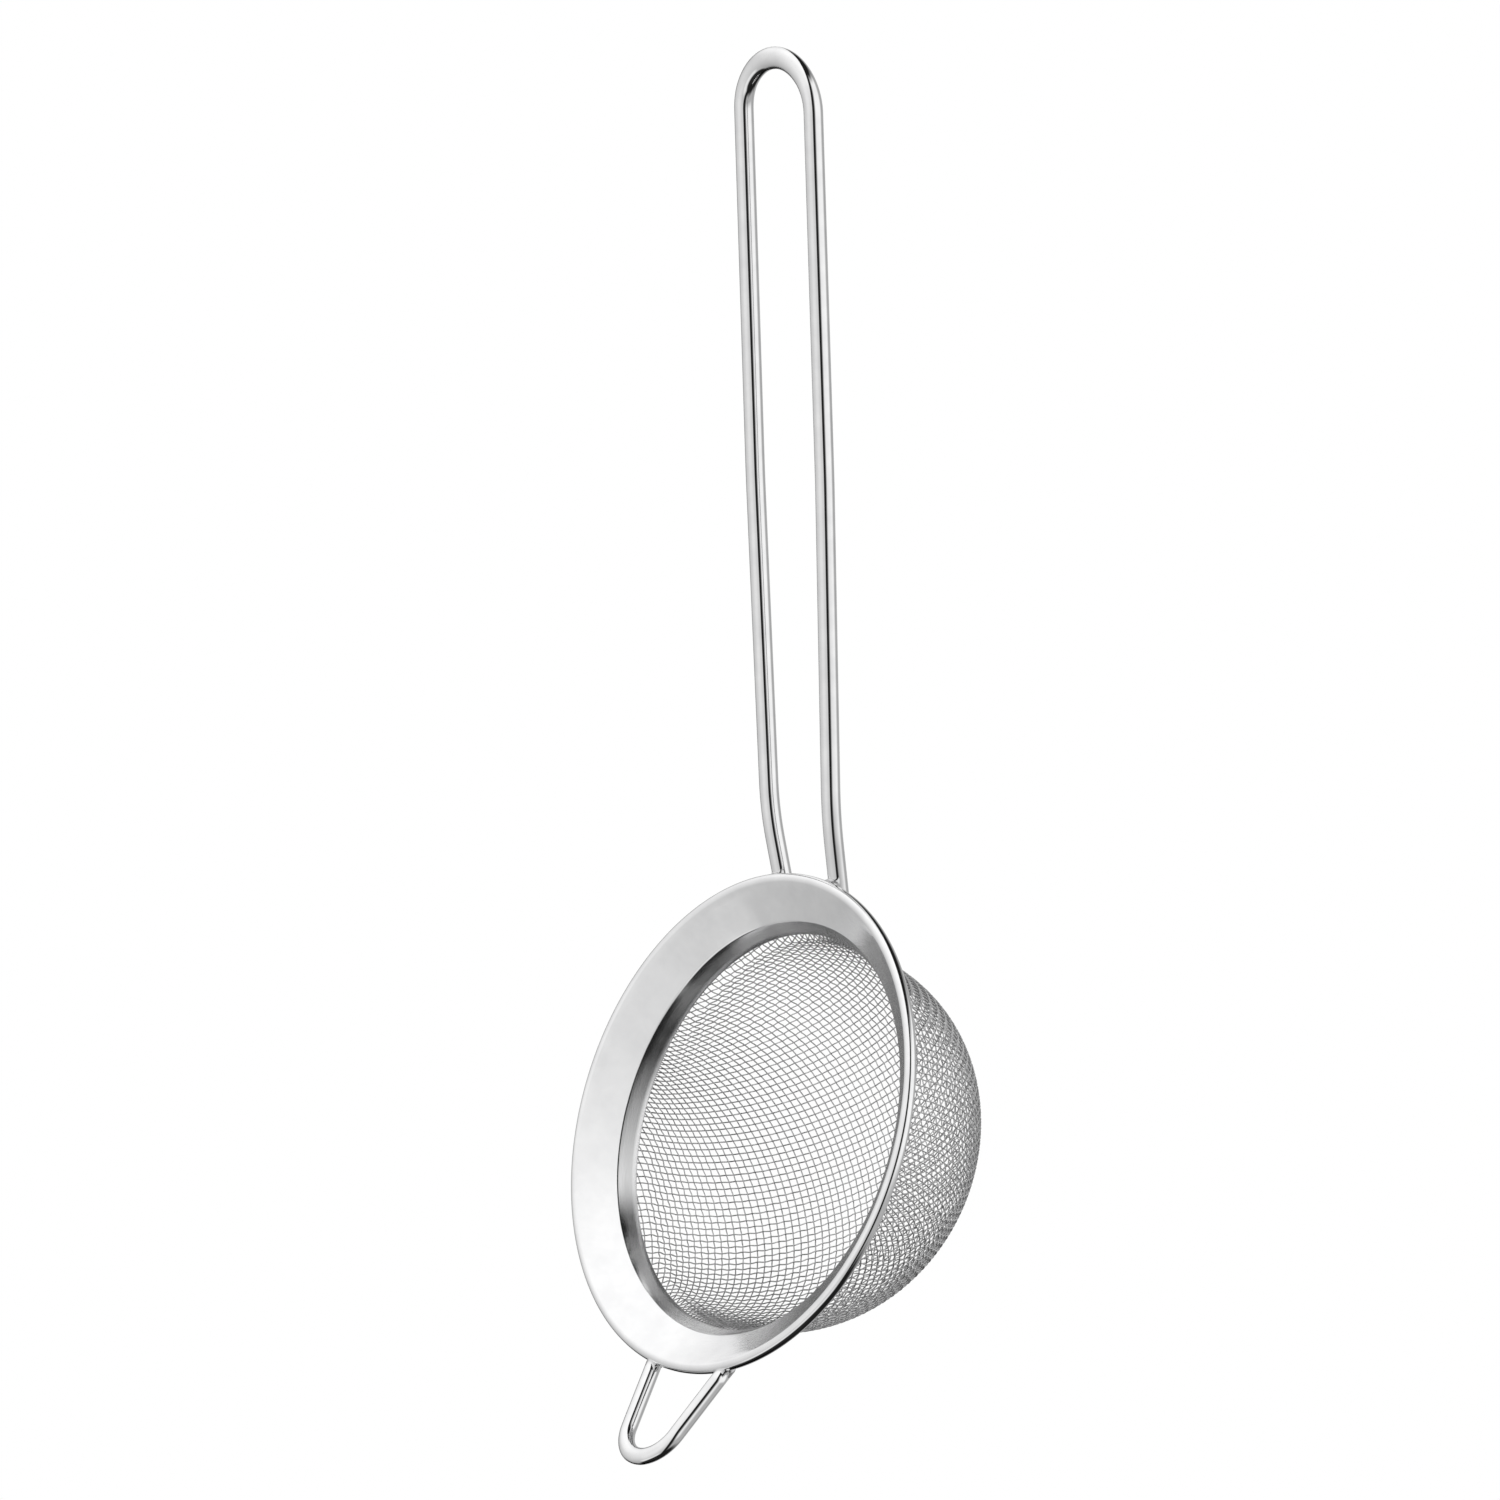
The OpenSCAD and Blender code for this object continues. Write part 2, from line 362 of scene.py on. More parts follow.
def rim_material():
    """Polished bead, satin flange with a faint grain that runs round it, duller collar."""
    material, g, shader, where = steel("rim_steel")
    grain, radius = polar_coordinates(g, where, along=14.0, out=5200.0, down=5200.0)
    fine = g.noise(grain, scale=1.0, detail=3.0, rough=0.6)
    cloud = g.noise(where, scale=240.0, detail=3.0, rough=0.6)
    speck = g.noise(where, scale=2600.0, detail=2.0, rough=0.7)
    bead_edge, collar_edge = BEAD_C[0] - 0.7, CORNER[0] - 0.1
    bead = g.step(radius, (bead_edge - 0.8) * MM, bead_edge * MM)
    collar = g.step(radius, (collar_edge - 0.6) * MM, collar_edge * MM, 1.0, 0.0)
    satin = g.add(g.spread(fine, 0.12, 0.15), g.spread(cloud, -0.015, 0.02))
    satin = g.add(satin, g.times(collar, 0.1))
    polished = g.spread(cloud, 0.05, 0.09)
    off_bead = g.one_minus(bead)
    mixed = g.add(g.times(satin, off_bead), g.times(polished, bead))
    g.put(shader.inputs["Roughness"], mixed)
    g.put(shader.inputs["Base Color"], g.ramp(cloud, (0.76, 0.76, 0.765), (0.82, 0.82, 0.822)))
    relief = g.add(fine, g.times(speck, 0.5))
    bump(g, shader, g.times(relief, off_bead), distance=0.00001, strength=0.35)
    return material


def rod_material():
    """Mirror-polished rod with the slightest waviness, haze and hairline marks."""
    material, g, shader, where = steel("rod_steel")
    haze = g.noise(where, scale=300.0, detail=4.0, rough=0.6)
    wave = g.noise(where, scale=160.0, detail=1.0, rough=0.4)
    hair = g.noise(where, scale=3000.0, detail=3.0, rough=0.7)
    g.put(shader.inputs["Roughness"], g.spread(haze, 0.02, 0.045, top=0.72))
    g.put(shader.inputs["Base Color"], g.ramp(haze, (0.74, 0.74, 0.745), (0.82, 0.82, 0.82)))
    bump(g, shader, g.add(wave, g.times(hair, 0.02)), distance=0.00003, strength=0.25)
    return material


def wire_material():
    """Bright drawn wire: darker than the polished parts, with draw marks."""
    material, g, shader, where = steel("mesh_steel")
    cloud = g.noise(where, scale=900.0, detail=2.0, rough=0.6)
    mark = g.noise(where, scale=9000.0, detail=2.0, rough=0.6)
    g.put(shader.inputs["Roughness"], g.spread(mark, 0.08, 0.16))
    g.put(shader.inputs["Base Color"], g.ramp(cloud, (0.52, 0.52, 0.525), (0.66, 0.66, 0.66)))
    bump(g, shader, mark, distance=0.000006, strength=0.4)
    return material


def weld_material():
    """Weld metal that has been brushed over: greyer, with a fine pitted skin."""
    material, g, shader, where = steel("weld_steel")
    pits = g.noise(where, scale=1800.0, detail=4.0, rough=0.65)
    tint = g.noise(where, scale=700.0, detail=2.0, rough=0.5)
    g.put(shader.inputs["Roughness"], g.spread(pits, 0.2, 0.4))
    g.put(shader.inputs["Base Color"], g.ramp(tint, (0.52, 0.52, 0.525), (0.7, 0.7, 0.7)))
    bump(g, shader, pits, distance=0.00006, strength=0.5)
    return material


RIM_STEEL = rim_material()
ROD_STEEL = rod_material()
MESH_STEEL = wire_material()
WELD_STEEL = weld_material()


# ---------------------------------------------------------------- rim
BEAD_STEPS, FOLD_STEPS, FLAT_STEPS, WALL_STEPS, EDGE_STEPS = 36, 8, 7, 4, 6


def sheet_face(depth):
    """One face of the folded sheet, a distance below the face seen from above."""
    bead = arc(BEAD_C, BEAD_R - depth, CURL_START, FLANGE_NORMAL, BEAD_STEPS)
    fold = arc(FOLD_C, FOLD_R - depth, FLANGE_NORMAL, COLLAR_NORMAL, FOLD_STEPS)
    end = COLLAR_END - depth * COLLAR_IN
    along = np.linspace(0, 1, FLAT_STEPS + 1)[1:-1, None]
    down = np.linspace(0, 1, WALL_STEPS + 1)[1:, None]
    flat = bead[-1] + along * (fold[0] - bead[-1])
    wall = fold[-1] + down * (end - fold[-1])
    return np.concatenate([bead, flat, fold, wall])


def rounded_edge(a, b):
    """Half circle from a to b, without its two ends, for an edge of the sheet."""
    middle = (a + b) / 2
    start = math.atan2(*(a - middle)[::-1])
    return arc(middle, SHEET / 2, start, start + math.pi, EDGE_STEPS)[1:-1]


def rim():
    top, bottom = sheet_face(0), sheet_face(SHEET)
    profile = np.concatenate([top, rounded_edge(top[-1], bottom[-1]), bottom[::-1],
                              rounded_edge(bottom[0], top[0])])
    verts, quads = lathe(profile, RIM_SEGMENTS)
    make_object("rim_stamping", verts, quads, [], RIM_STEEL, "rim")


# ---------------------------------------------------------------- woven bowl
LIP_TOP = CORNER + LIP_START * COLLAR_DOWN - (SHEET + WIRE_D) * COLLAR_IN
LIP_COLLAR_END = COLLAR_END - (SHEET + WIRE_D) * COLLAR_IN
MOUTH = LIP_COLLAR_END + LIP_RUN * COLLAR_DOWN
BOWL_H = MOUTH[1] - (bowl_low[2] + WIRE_D)


class Cloth:
    """The cloth's middle surface: radius and height by arc length from the pole."""
    SPACING = 0.02

    def __init__(self):
        a = np.linspace(0, np.pi / 2, 4000)
        r = MOUTH[0] * np.sin(a) ** (2 / FULLNESS)
        z = MOUTH[1] - BOWL_H * np.cos(a) ** (2 / FULLNESS)
        lip = MOUTH + np.linspace(0, 1, 300)[1:, None] * (LIP_TOP - MOUTH)
        r, z = np.r_[r, lip[:, 0]], np.r_[z, lip[:, 1]]
        s = np.r_[0, np.cumsum(np.hypot(np.diff(r), np.diff(z)))]
        self.s = np.arange(0, s[-1], self.SPACING)
        self.r, self.z = np.interp(self.s, s, r), np.interp(self.s, s, z)
        self.edge = self.s[-1]

    def at(self, s, turn):
        """Points on the cloth. Past its edge the lip runs straight on."""
        past = np.maximum(s - self.edge, 0)
        r = np.interp(s, self.s, self.r) - past * COLLAR_DOWN[0]
        z = np.interp(s, self.s, self.z) - past * COLLAR_DOWN[1]
        return np.stack([r * np.cos(turn), r * np.sin(turn), z], -1)


# Solver for the crossings: rounds, a small shift for slopes, the longest step in one
# round, the error allowed in a squared length, and how far past the edge to go.
ROUNDS, SHIFT, LONGEST, ERROR, PAST_EDGE = 12, 1e-4, 0.5 * PITCH, 1e-3, 6
FLATTEST = 1e-9


def crossing(cloth, a, b, c, s, turn):
    """Points on the cloth a pitch away from both a and b, on the far side from c."""
    for _ in range(ROUNDS):
        p = cloth.at(s, turn)
        along = (cloth.at(s + SHIFT, turn) - cloth.at(s - SHIFT, turn)) / (2 * SHIFT)
        round_ = (cloth.at(s, turn + SHIFT) - cloth.at(s, turn - SHIFT)) / (2 * SHIFT)
        fa = ((p - a) ** 2).sum(1) - PITCH ** 2
        fb = ((p - b) ** 2).sum(1) - PITCH ** 2
        m = [[2 * ((p - q) * d).sum(1) for d in (along, round_)] for q in (a, b)]
        det = m[0][0] * m[1][1] - m[0][1] * m[1][0]
        det = np.where(np.abs(det) < FLATTEST, FLATTEST, det)
        turn_limit = LONGEST / np.maximum(np.hypot(p[:, 0], p[:, 1]), 1)
        s = s - np.clip((fa * m[1][1] - fb * m[0][1]) / det, -LONGEST, LONGEST)
        turn = turn - np.clip((m[0][0] * fb - m[1][0] * fa) / det, -turn_limit, turn_limit)
    far_side = ((p - c) ** 2).sum(1) > (0.2 * PITCH) ** 2
    good = (np.abs(fa) < ERROR) & (np.abs(fb) < ERROR) & (s < cloth.edge + PAST_EDGE) & far_side
    return np.where(good, s, np.nan), np.where(good, turn, np.nan)


def weave_net(cloth, n):
    """Where the wires cross: a square net draped over the bowl, so that every stretch
    between crossings is one pitch long, as flat cloth keeps when it is pressed."""
    side = 2 * n + 1
    s, turn = np.full((side, side), np.nan), np.full((side, side), np.nan)
    for k in range(-n, n + 1):
        back = 0 if k >= 0 else np.pi
        s[k + n, n] = s[n, k + n] = abs(k) * PITCH
        turn[k + n, n] = WEAVE_TURN + back
        turn[n, k + n] = WEAVE_TURN + np.pi / 2 + back
    s[n, n] = 1e-6
    for d in range(2, 2 * n + 1):
        i = np.arange(max(1, d - n), min(n, d - 1) + 1)
        j = d - i
        for u, v in ((1, 1), (-1, 1), (-1, -1), (1, -1)):
            near_a, near_b = (n + u * (i - 1), n + v * j), (n + u * i, n + v * (j - 1))
            behind = (n + u * (i - 1), n + v * (j - 1))
            a, b, c = (cloth.at(s[q], turn[q]) for q in (near_a, near_b, behind))
            guess = a + b - c
            start = np.maximum(s[near_a], s[near_b]) + 0.3 * PITCH
            found = crossing(cloth, a, b, c, start, np.arctan2(guess[:, 1], guess[:, 0]))
            s[n + u * i, n + v * j], turn[n + u * i, n + v * j] = found
    return s, turn


def lean(points):
    """The pressed bowl sits a little off the rim's axis towards its bottom."""
    depth = np.clip((MOUTH[1] - points[..., 2]) / BOWL_H, 0, 1)
    moved = points.copy()
    moved[..., 0] += BOWL_LEAN[0] * depth
    moved[..., 1] += BOWL_LEAN[1] * depth
    return moved


def smooth_between(p, t):
    """Catmull-Rom points between successive rows of p, at the fractions t."""
    padded = np.concatenate([[2 * p[0] - p[1]], p, [2 * p[-1] - p[-2]]])
    a0, a1, a2, a3 = (q[:, None] for q in (padded[:-3], padded[1:-2], padded[2:-1], padded[3:]))
    return 0.5 * (2 * a1 + (a2 - a0) * t + (2 * a0 - 5 * a1 + 4 * a2 - a3) * t ** 2
                  + (3 * a1 - a0 - 3 * a2 + a3) * t ** 3)


WIRE_STEPS = np.arange(4) / 4
NORMAL_STEP = 0.01
FEWEST_CROSSINGS, FEWEST_POINTS = 3, 8


def wire_lines(cloth, s, turn, flip):
    """Centre lines of one set of wires, each bent over and under the other set."""
    points = cloth.at(s, turn)
    along = cloth.at(s + NORMAL_STEP, turn) - points
    outward = np.stack([np.cos(turn), np.sin(turn), np.zeros_like(turn)], -1)
    round_ = np.cross(np.array([0, 0, 1.0]), outward)
    normals = unit(np.cross(round_, along) + 1e-12)
    points = lean(points)
    t = WIRE_STEPS[None, :, None]
    lines = []
    for i in range(s.shape[0]):
        ok = np.isfinite(s[i]) & (s[i] < cloth.edge + PITCH)
        edges = np.flatnonzero(np.diff(np.r_[0, ok.astype(int), 0]))
        for first, stop in zip(edges[::2], edges[1::2]):
            if stop - first < FEWEST_CROSSINGS:
                continue
            p, m, reach = points[i, first:stop], normals[i, first:stop], s[i, first:stop]
            sign = np.where((i + np.arange(first, stop)) % 2 == 0, 1.0, -1.0) * flip
            n = unit(m[:-1, None] * (1 - t) + m[1:, None] * t)
            crimp = sign[:-1, None] * np.cos(np.pi * WIRE_STEPS) * WIRE_D / 2
            line = (smooth_between(p, t) + n * crimp[..., None]).reshape(-1, 3)
            n = n.reshape(-1, 3)
            far = (reach[:-1, None] * (1 - WIRE_STEPS) + reach[1:, None] * WIRE_STEPS).ravel()
            inside = np.flatnonzero(far <= cloth.edge)
            if len(inside) > FEWEST_POINTS:
                kept = slice(inside[0], inside[-1] + 1)
                lines.append((line[kept], n[kept]))
    return lines


def wire_pieces(lines, name):
    """Tubes for a set of lines, shared between two objects by length."""
    total = sum(len(line) for line, _ in lines)
    groups, count = [[], []], 0
    for line in lines:
        groups[int(count >= total / 2)].append(line)
        count += len(line[0])
    for index, group in enumerate(groups):
        verts, quads, caps, first = [], [], [], 0
        for line, normal in group:
            v, q, ends = tube(line, normal, WIRE_D / 2, WIRE_D / 2, WIRE_SIDES, domed=False)
            verts.append(v)
            quads.append(q + first)
            caps += [[k + first for k in end] for end in ends]
            first += len(v)
        make_object(f"{name}_{index + 1}", np.concatenate(verts), np.concatenate(quads), caps,
                    MESH_STEEL, "mesh_bowl")


def bowl():
    cloth = Cloth()
    s, turn = weave_net(cloth, int(cloth.edge / PITCH) + 2)
    wire_pieces(wire_lines(cloth, s, turn, 1.0), "warp_wires")
    wire_pieces(wire_lines(cloth, s.T, turn.T, -1.0), "weft_wires")


# ---------------------------------------------------------------- spot welds on the lip
def spot_welds():
    """Nuggets through the cloth's lip, dished by the electrode, with a raised edge."""
    middle = (LIP_TOP + LIP_COLLAR_END) / 2
    a = circle(SPOT_SIDES)
    up = np.array([0, 0, 1.0])
    rings = len(SPOT_RINGS)
    verts, quads, caps = [], [], []
    for index in range(SPOT_COUNT):
        turn = 2 * np.pi * (index + 0.5) / SPOT_COUNT
        out = np.array([math.cos(turn), math.sin(turn), 0])
        normal = -(COLLAR_IN[0] * out + COLLAR_IN[1] * up)
        down = COLLAR_DOWN[0] * out + COLLAR_DOWN[1] * up
        side = np.cross(normal, down)
        centre = middle[0] * out + middle[1] * up
        wobble = 1 + 0.05 * np.sin(2 * a + index) + 0.03 * np.sin(5 * a + 2.3 * index)
        spokes = np.cos(a)[:, None] * side + np.sin(a)[:, None] * down
        for r, h in SPOT_RINGS:
            verts.append(centre + (r * wobble)[:, None] * spokes + h * normal)
        first = index * rings * SPOT_SIDES
        last = first + (rings - 1) * SPOT_SIDES
        quads.append(strip_quads(rings, SPOT_SIDES, first))
        caps += [[first + k for k in range(SPOT_SIDES - 1, -1, -1)],
                 [last + k for k in range(SPOT_SIDES)]]
    make_object("spot_weld_nuggets", np.concatenate(verts), np.concatenate(quads), caps,
                WELD_STEEL, "mesh_spot_welds")


# ---------------------------------------------------------------- rods
def bend_points(a, p, b, radius, steps):
    """Points round a bend at corner p, for a rod that comes from a and goes to b."""
    back, ahead = unit(a - p), unit(b - p)
    turn = math.pi - math.acos(back @ ahead)
    centre = p + unit(back + ahead) * radius / math.cos(turn / 2)
    out = unit(p + back * radius * math.tan(turn / 2) - centre)
    t = np.linspace(0, turn, steps + 1)[:, None]
    return centre + radius * (out * np.cos(t) - back * np.sin(t))


ROOT_DROP = BEAD_R + ROD_R
BEAD_Y = math.sqrt(BEAD_C[0] ** 2 - ROOT_X ** 2)
ROOT = np.array([ROOT_X, BEAD_Y + ROOT_DROP * math.sin(ROOT_RISE),
                 -ROOT_DROP * math.cos(ROOT_RISE)])
BEND = np.array([NECK_X, ROOT[1] + BEND_REACH, ROOT[2] + BEND_REACH * math.tan(ROOT_RISE)])
LEG_START = ROOT - ROOT_TAIL * unit(BEND - ROOT)


def handle_z(y):
    return BEND[2] + (y - BEND[1]) * math.tan(HANDLE_RISE)


def handle():
    outwards = np.array([0, math.cos(HANDLE_RISE), math.sin(HANDLE_RISE)])
    up = np.array([0, -math.sin(HANDLE_RISE), math.cos(HANDLE_RISE)])
    spread = np.array([LOOP_R, SPREAD_REACH, handle_z(SPREAD_REACH)])
    loop_c = np.array([0, HANDLE_REACH, handle_z(HANDLE_REACH)])
    leg_end = loop_c + [LOOP_R, 0, 0]
    right = np.concatenate([[LEG_START],
                            bend_points(LEG_START, BEND, spread, BEND_R, 24),
                            bend_points(BEND, spread, leg_end, SPREAD_R, 12)])
    t = np.linspace(0, np.pi, 120)[:, None]
    loop = loop_c + LOOP_R * (np.cos(t) * np.array([1.0, 0, 0]) + np.sin(t) * outwards)
    path = resample(np.concatenate([right, loop, right[::-1] * [-1, 1, 1]]), ROD_STEP)
    # The press bears on the loop's end, and fades out towards the legs.
    ahead = (path[:, 1] - loop_c[1]) / (LOOP_R * math.cos(HANDLE_RISE))
    pressed = smooth01((ahead - 0.1) / 0.8)
    path = path - LOOP_PULL * pressed[:, None] * outwards
    verts, quads, caps = tube(path, up, ROD_R * (1 + LOOP_WIDER * pressed),
                              ROD_R * (1 - LOOP_THINNER * pressed), ROD_SIDES)
    make_object("handle_loop", verts, quads, caps, ROD_STEEL, "handle_rod")


# Rest loop in its own plane: x across, y outwards from the bead's middle. A leg runs
# straight from the bead and meets the tip's arc at REST_TANGENT.
REST_Y = math.sqrt(BEAD_C[0] ** 2 - REST_X ** 2)
REST_TIP = np.array([0, REST_LEN - REST_TIP_R])
REST_TO_ROOT = np.array([REST_X, 0]) - REST_TIP
REST_TANGENT = (math.atan2(REST_TO_ROOT[1], REST_TO_ROOT[0])
                + math.acos(REST_TIP_R / np.linalg.norm(REST_TO_ROOT)))


def rest_plane(points):
    """From the rest loop's own plane to the frame."""
    x, y = points[:, 0], points[:, 1]
    return np.stack([REST_SHIFT - x, -REST_Y - y * math.cos(REST_RISE),
                     -REST_DROP + y * math.sin(REST_RISE)], 1)


def bead_distance(p):
    """Distance from the outside of the rolled bead."""
    return np.hypot(np.hypot(p[..., 0], p[..., 1]) - BEAD_C[0], p[..., 2]) - BEAD_R


def rest():
    tip_arc = arc(REST_TIP, REST_TIP_R, REST_TANGENT, math.pi - REST_TANGENT, 60)
    flat = np.concatenate([[[REST_X, 0]], tip_arc, [[-REST_X, 0]]])
    path = resample(rest_plane(flat), REST_STEP)
    path = path[bead_distance(path) > 0.9 * REST_R]
    up = np.array([0, math.sin(REST_RISE), math.cos(REST_RISE)])
    ahead = (-REST_Y - path[:, 1]) / math.cos(REST_RISE)
    pressed = smooth01((ahead - REST_TIP[1]) / REST_TIP_R)
    verts, quads, caps = tube(path, up, REST_R * (1 + TIP_WIDER * pressed),
                              REST_R * (1 - TIP_THINNER * pressed), REST_SIDES, domed=False)
    # Each end is coped to the bead: its ring runs on along the leg until it meets it.
    run = tangents(path)
    first_ring, last_ring = slice(0, REST_SIDES), slice(len(verts) - REST_SIDES, len(verts))
    for ring, way in ((first_ring, -run[0]), (last_ring, run[-1])):
        p = verts[ring].copy()
        reach = np.zeros(len(p))
        for _ in range(60):
            gap = bead_distance(p + reach[:, None] * way) + COPE_SINK
            reach = np.minimum(reach + np.maximum(gap, 0) * 0.9, COPE_REACH)
        verts[ring] = p + reach[:, None] * way
    make_object("rest_loop_rod", verts, quads, caps, ROD_STEEL, "rest_loop")


# ---------------------------------------------------------------- rod welds
def rod_distance(p, a, b, radius):
    """Distance from the outside of a straight rod from a to b."""
    ab = b - a
    t = np.clip(((p - a) @ ab) / (ab @ ab), 0, 1)
    return np.linalg.norm(p - a - t[..., None] * ab, axis=-1) - radius


def icosphere(level):
    """Unit vectors spread over a ball, and the triangles between them."""
    bm = bmesh.new()
    bmesh.ops.create_icosphere(bm, subdivisions=level, radius=1.0)
    bm.verts.ensure_lookup_table()
    ways = np.array([v.co[:] for v in bm.verts])
    faces = [[v.index for v in f.verts] for f in bm.faces]
    bm.free()
    return ways, faces


WELD_WAYS, WELD_FACES = icosphere(WELD_LEVEL)
WELD_RIPPLE = 0.05 * (np.sin(9 * WELD_WAYS[:, 0] + 4 * WELD_WAYS[:, 2])
                      * np.sin(8 * WELD_WAYS[:, 1] - 2))
WELD_INSET = 0.02


def weld_blob(name, node, centre, size, a, b, radius, blend):
    """Fused metal that fills the corner between a rod and the bead. It is the part of the
    two shapes' smooth union that lies within a ball, kept a hair inside them elsewhere."""
    low, high = np.zeros(len(WELD_WAYS)), np.full(len(WELD_WAYS), size)
    for _ in range(26):
        mid = (low + high) / 2
        p = centre + mid[:, None] * WELD_WAYS
        bead, rod = bead_distance(p), rod_distance(p, a, b, radius)
        h = np.clip(blend - np.abs(bead - rod), 0, None) / blend
        fillet = h ** 3 * blend / 6 * (1 + WELD_RIPPLE)
        inside = np.minimum(bead, rod) - fillet + WELD_INSET < 0
        low, high = np.where(inside, mid, low), np.where(inside, high, mid)
    make_object(name, centre + low[:, None] * WELD_WAYS, [], WELD_FACES, WELD_STEEL,
                node)


def welds():
    for side, word in ((-1, "left"), (1, "right")):
        flip = np.array([side, 1, 1])
        centre = np.array([side * ROOT_X, BEAD_Y - 0.2, -BEAD_R - 0.25])
        weld_blob(f"handle_weld_bead_{word}", f"handle_weld_{word}", centre, HANDLE_WELD_R,
                  LEG_START * flip, BEND * flip, ROD_R, HANDLE_WELD_BLEND)
    leg_end = REST_TIP + REST_TIP_R * np.array([math.cos(REST_TANGENT), math.sin(REST_TANGENT)])
    for side, word in ((-1, "left"), (1, "right")):
        a, b = rest_plane(np.array([[REST_X, 0], leg_end]) * [-side, 1])
        centre = np.array([REST_SHIFT + side * REST_X, -REST_Y - 0.75, -REST_DROP - 0.65])
        weld_blob(f"rest_weld_bead_{word}", f"rest_weld_{word}", centre, REST_WELD_R,
                  a, b, REST_R, REST_WELD_BLEND)


rim()
bowl()
spot_welds()
handle()
rest()
welds()


# ---------------------------------------------------------------- camera
CAMERA_AIM = Vector((-3.28, 56.15, 12.75)) * MM
CAMERA_DISTANCE = 2512.6 * MM
CAMERA_LENS = 390.1
CAMERA_SENSOR = 36

# The camera's right, back and up directions; the light is laid out along them too.
RIGHT = Vector((0.6244, 0.2284, -0.7470)).normalized()
BACK = Vector((0.7779, -0.0956, 0.6210)).normalized()
UP = BACK.cross(RIGHT).normalized()
RIGHT = UP.cross(BACK).normalized()


def camera():
    data = bpy.data.cameras.new("camera")
    data.lens = CAMERA_LENS
    data.sensor_width = CAMERA_SENSOR
    data.clip_start = 0.1
    data.clip_end = 50
    obj = bpy.data.objects.new("camera", data)
    bpy.context.scene.collection.objects.link(obj)
    turn = Matrix((RIGHT, UP, BACK)).transposed()
    obj.matrix_world = Matrix.Translation(CAMERA_AIM + BACK * CAMERA_DISTANCE) @ turn.to_4x4()
    bpy.context.scene.camera = obj


# ---------------------------------------------------------------- light
# A direction is a turn from BACK towards RIGHT, and a rise towards UP, in degrees.
# The tent on the left ends in a dark gap, and is dark under a rise of TENT_FOOT.
TENT_EDGE = (-15, -7)
TENT_FOOT = (-57, -47)
FOOT_LEVEL = 0.04
TENT_LEVEL = 0.6
TENT_SLOPE, TENT_SLOPE_FROM, TENT_SLOPE_RUN = 0.0068, -40.0, 95.0
# Panels: range of turn, range of rise, softness, level.
TENT_PANELS = [((-80, -38), (-30, 16), 14, 0.14),
               ((-92, -24), (-49, -34), 5, 0.35)]
RIGHT_PANELS = [((21, 116), (-46, 48), 10, 0.5),
                ((21, 96), (-16, 48), 12, 0.62),
                ((118, 200), (-35, 40), 15, 0.5)]
RIGHT_LEVEL = 0.015
# Shades on the tent: turns between which each fades out and its strength, then rises
# between which it fades out and how much of it stays above them.
TENT_SHADES = [((-155, -85), 0.32, (12, 36), 0.0),
               ((-168, -130), 0.75, (8, 28), 0.15),
               ((-156, -130), 0.96, (-24, -12), 0.0)]


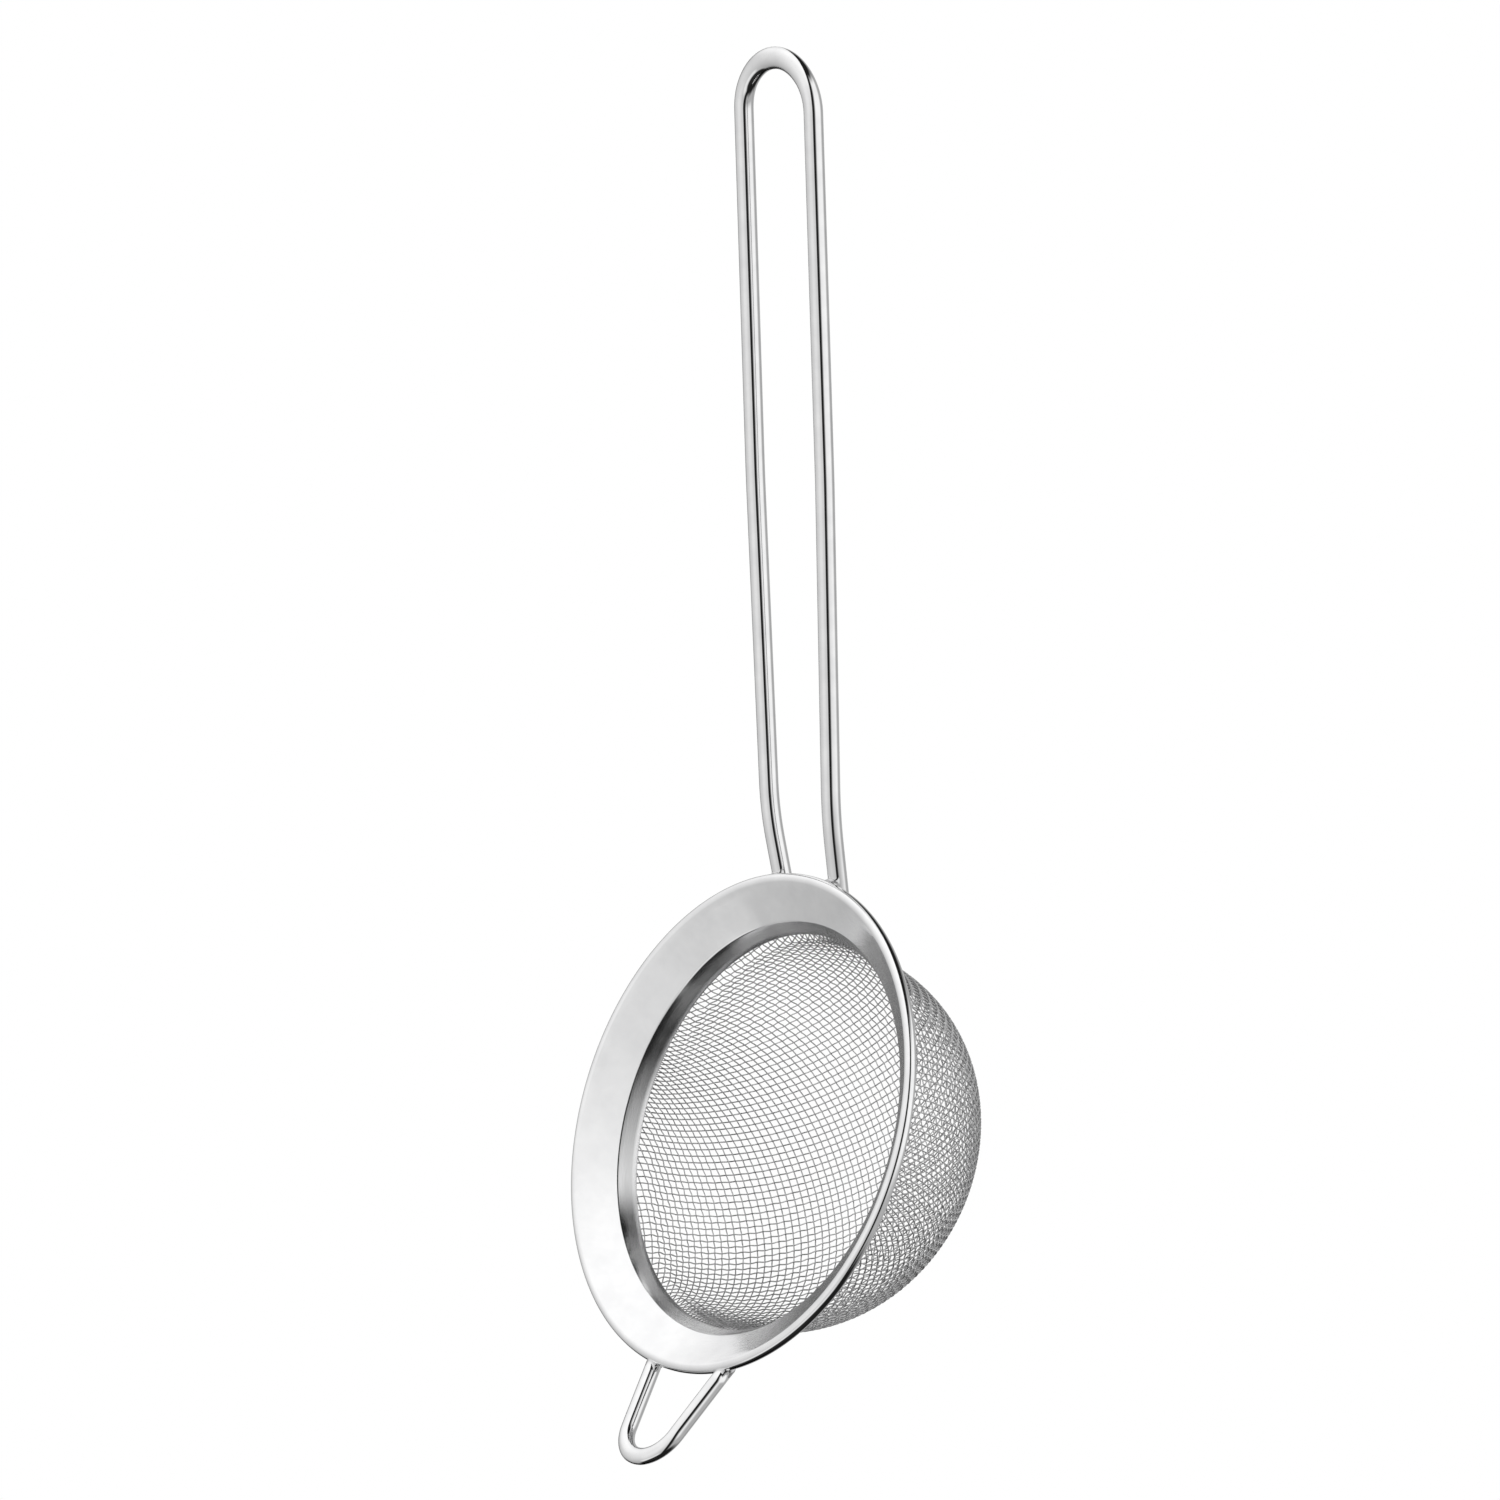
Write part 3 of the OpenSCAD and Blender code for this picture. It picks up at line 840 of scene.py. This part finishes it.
def studio():
    """A white tent on the left, a dark gap, and soft panels between dark cards on the
    right, as a direction-based world. The camera itself sees plain white."""
    world = bpy.data.worlds.new("studio")
    bpy.context.scene.world = world
    world.use_nodes = True
    world.node_tree.nodes.clear()
    g = Graph(world.node_tree)
    way = g.node("ShaderNodeTexCoord").outputs["Generated"]
    x, y, z = (g.dot(way, tuple(v)) for v in (RIGHT, UP, BACK))
    turn = g.math("DEGREES", g.math("ARCTAN2", x, z))
    rise = g.math("DEGREES", g.math("ARCSINE", y))

    def panel(turn_range, rise_range, soft, level):
        lit = g.step(turn, turn_range[0] - soft, turn_range[0] + soft, 0.0, level)
        lit = g.times(lit, g.step(turn, turn_range[1] - soft, turn_range[1] + soft, 1.0, 0.0))
        lit = g.times(lit, g.step(rise, rise_range[0] - soft, rise_range[0] + soft))
        return g.times(lit, g.step(rise, rise_range[1] - soft, rise_range[1] + soft, 1.0, 0.0))

    # The tent is brighter towards the top, and dim low down and behind.
    up_tent = g.math("MAXIMUM", g.add(rise, -TENT_SLOPE_FROM), 0.0)
    slope = g.times(g.math("MINIMUM", up_tent, TENT_SLOPE_RUN), TENT_SLOPE)
    tent = g.times(g.step(rise, *TENT_FOOT, FOOT_LEVEL, 1.0), g.add(slope, TENT_LEVEL))
    for settings in TENT_PANELS:
        tent = g.add(tent, panel(*settings))
    for turns, strength, rises, above in TENT_SHADES:
        shade = g.times(g.step(turn, *turns, strength, 0.0), g.step(rise, *rises, 1.0, above))
        tent = g.times(tent, g.one_minus(shade))
    right = panel(*RIGHT_PANELS[0])
    for settings in RIGHT_PANELS[1:]:
        right = g.add(right, panel(*settings))
    right = g.add(right, RIGHT_LEVEL)
    on_left = g.step(turn, *TENT_EDGE, 1.0, 0.0)
    total = g.add(g.times(tent, on_left), g.times(right, g.one_minus(on_left)))
    shown = g.node("ShaderNodeMix", data_type="FLOAT")
    g.put(shown.inputs[0], g.node("ShaderNodeLightPath").outputs["Is Camera Ray"])
    g.put(shown.inputs[2], total)
    g.put(shown.inputs[3], 1.0)
    light = g.node("ShaderNodeBackground")
    light.inputs["Color"].default_value = (1, 1, 1, 1)
    g.put(light.inputs["Strength"], shown.outputs[0])
    out = g.node("ShaderNodeOutputWorld")
    g.put(out.inputs["Surface"], light.outputs[0])


FLOOR_R = 420.0
FLOOR_DROP = 160.0
FLOOR_SIDES = 64


def floor():
    """Plain white sweep well below the bowl, as white to the camera as the world is."""
    mesh = bpy.data.meshes.new("floor")
    edge = [(FLOOR_R * math.cos(t) * MM, FLOOR_R * math.sin(t) * MM, -FLOOR_DROP * MM)
            for t in circle(FLOOR_SIDES)]
    mesh.from_pydata(edge, [], [list(range(FLOOR_SIDES))])
    material = bpy.data.materials.new("floor_white")
    material.use_nodes = True
    g = Graph(material.node_tree)
    shader = material.node_tree.nodes["Principled BSDF"]
    shader.inputs["Base Color"].default_value = (0.8, 0.8, 0.8, 1)
    shader.inputs["Roughness"].default_value = 0.9
    glow = g.node("ShaderNodeEmission")
    mix = g.node("ShaderNodeMixShader")
    g.put(mix.inputs[0], g.node("ShaderNodeLightPath").outputs["Is Camera Ray"])
    g.put(mix.inputs[1], shader.outputs[0])
    g.put(mix.inputs[2], glow.outputs[0])
    g.put(material.node_tree.nodes["Material Output"].inputs["Surface"], mix.outputs[0])
    mesh.materials.append(material)
    obj = bpy.data.objects.new("floor", mesh)
    bpy.context.scene.collection.objects.link(obj)
    obj.visible_glossy = obj.visible_diffuse = obj.visible_shadow = False


camera()
studio()
floor()
bpy.context.scene.view_settings.view_transform = "Standard"
